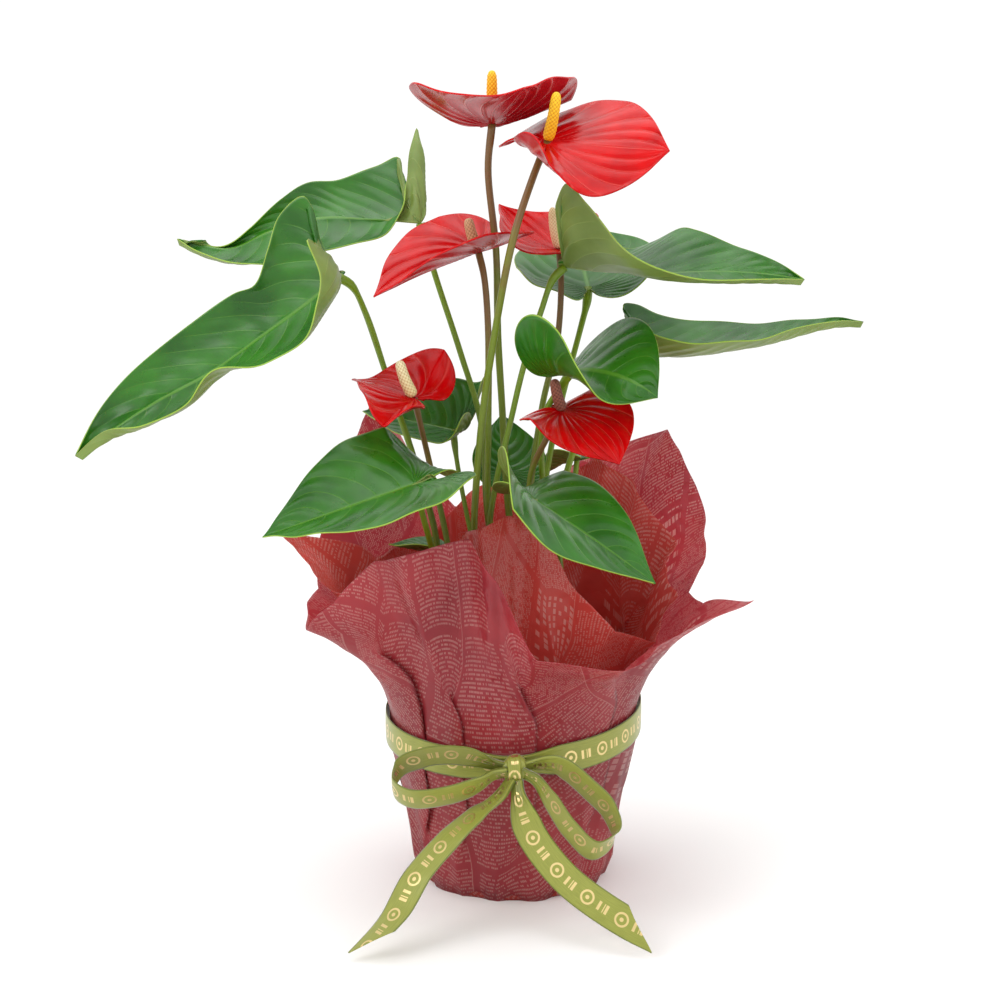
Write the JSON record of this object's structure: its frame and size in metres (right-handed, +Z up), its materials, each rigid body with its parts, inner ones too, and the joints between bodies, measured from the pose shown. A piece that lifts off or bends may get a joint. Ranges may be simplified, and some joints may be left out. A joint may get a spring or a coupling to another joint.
{
  "type": "potted anthurium plant",
  "caption": "Potted anthurium in a plastic grower pot, gathered in translucent wrapping film tied with a satin ribbon bow; heart-shaped leaves and glossy red spathes on bent stalks.",
  "frame": {"origin": "on the ground under the middle of the pot", "axes": "+Z up, -Y towards the front of the gift wrap where the bow is tied, +X to the right seen from the front"},
  "size_m": [0.3972, 0.2564, 0.4137],
  "materials": {
    "pot": "thin dark thermoformed plastic",
    "mix": "loose dark peat and bark mix",
    "crown": "fibrous plant base",
    "film_outer": "translucent satin wrapping film, burgundy",
    "film_inner": "translucent satin wrapping film, coral",
    "ribbon": "olive satin ribbon with gold foil motifs",
    "leaf": "glossy leathery green leaf",
    "petiole": "smooth green leaf stalk",
    "spathe": "waxy high-gloss red spathe",
    "peduncle": "smooth green-brown flower stalk",
    "spadix_yellow": "finely beaded, yellow",
    "spadix_cream": "finely beaded, cream",
    "spadix_tan": "finely beaded, tan",
    "spadix_brown": "finely beaded, dried brown",
    "sheath": "papery dry sheath"
  },
  "bodies": {
    "root": {"grower_pot": "pot", "potting_mix": "mix", "crown_left": "crown", "crown_middle": "crown", "crown_right": "crown", "film_outer": "film_outer", "film_inner": "film_inner", "ribbon_band": "ribbon", "ribbon_knot": "ribbon", "ribbon_loop_left": "ribbon", "ribbon_loop_right": "ribbon", "ribbon_tail_left": "ribbon", "ribbon_tail_right": "ribbon", "leaf_1_blade": "leaf", "leaf_1_petiole": "petiole", "leaf_2_blade": "leaf", "leaf_2_petiole": "petiole", "leaf_3_blade": "leaf", "leaf_3_petiole": "petiole", "leaf_4_blade": "leaf", "leaf_4_petiole": "petiole", "leaf_5_blade": "leaf", "leaf_5_petiole": "petiole", "leaf_6_blade": "leaf", "leaf_6_petiole": "petiole", "leaf_7_blade": "leaf", "leaf_7_petiole": "petiole", "leaf_8_blade": "leaf", "leaf_8_petiole": "petiole", "leaf_9_blade": "leaf", "leaf_9_petiole": "petiole", "leaf_10_blade": "leaf", "leaf_10_petiole": "petiole", "leaf_11_blade": "leaf", "leaf_11_petiole": "petiole", "leaf_12_blade": "leaf", "leaf_12_petiole": "petiole", "flower_1_spathe": "spathe", "flower_1_peduncle": "peduncle", "flower_1_spadix": "spadix_yellow", "flower_2_spathe": "spathe", "flower_2_peduncle": "peduncle", "flower_2_spadix": "spadix_yellow", "flower_3_spathe": "spathe", "flower_3_peduncle": "peduncle", "flower_3_spadix": "spadix_tan", "flower_4_spathe": "spathe", "flower_4_peduncle": "peduncle", "flower_4_spadix": "spadix_cream", "flower_5_spathe": "spathe", "flower_5_peduncle": "peduncle", "flower_5_spadix": "spadix_cream", "flower_6_spathe": "spathe", "flower_6_peduncle": "peduncle", "flower_6_spadix": "spadix_brown", "sheath_1": "sheath", "sheath_2": "sheath", "sheath_3": "sheath"}
  },
  "joints": []
}
